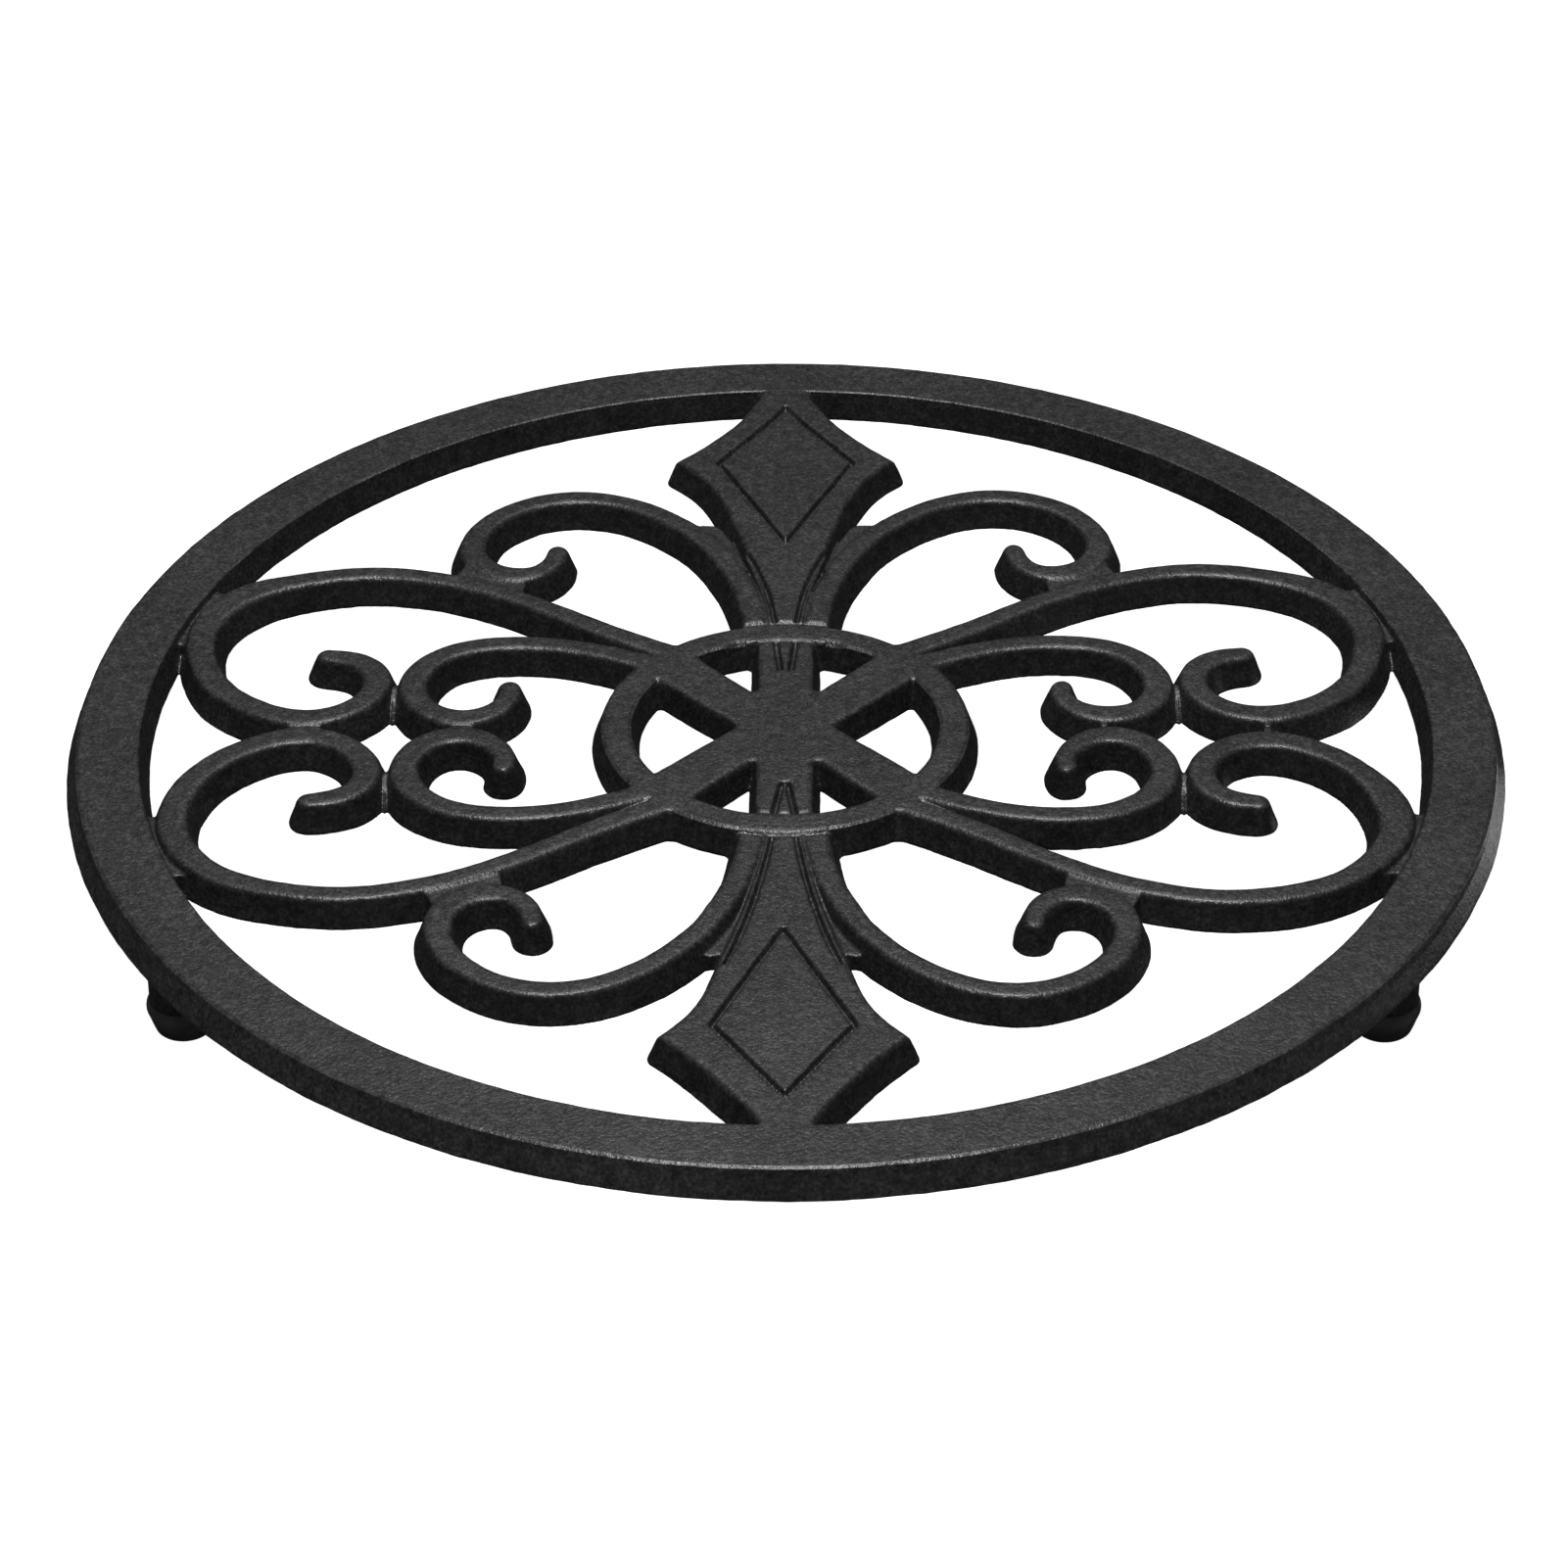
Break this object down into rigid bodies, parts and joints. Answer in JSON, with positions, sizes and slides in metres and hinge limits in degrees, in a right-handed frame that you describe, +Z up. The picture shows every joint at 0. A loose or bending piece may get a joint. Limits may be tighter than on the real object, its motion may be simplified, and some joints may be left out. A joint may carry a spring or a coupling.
{
  "type": "trivet",
  "caption": "Round openwork iron trivet: scrolls and spear heads between a spoked hub ring and an outer ring, on short legs with soft caps, to hold hot pots off a table.",
  "frame": {"origin": "on the table, under the centre of the outer ring", "axes": "+Z up; -Y is the front, where the two side legs stand nearer the viewer; the spears lie along Y"},
  "size_m": [0.1978, 0.1978, 0.016],
  "materials": {
    "black_iron": "fine-grained satin black coating on sand-cast iron",
    "rubber": "smooth black rubber"
  },
  "bodies": {
    "root": {"outer_ring": "black_iron", "hub_ring": "black_iron", "hub_cross": "black_iron", "spear_front": "black_iron", "spear_rear": "black_iron", "large_scroll_front_left": "black_iron", "large_scroll_front_right": "black_iron", "large_scroll_rear_left": "black_iron", "large_scroll_rear_right": "black_iron", "inner_scroll_front_left": "black_iron", "inner_scroll_front_right": "black_iron", "inner_scroll_rear_left": "black_iron", "inner_scroll_rear_right": "black_iron", "side_scroll_front_left": "black_iron", "side_scroll_front_right": "black_iron", "side_scroll_rear_left": "black_iron", "side_scroll_rear_right": "black_iron", "leg_left": "black_iron", "leg_right": "black_iron", "leg_rear": "black_iron", "rubber_foot_left": "rubber", "rubber_foot_right": "rubber", "rubber_foot_rear": "rubber"}
  },
  "joints": []
}
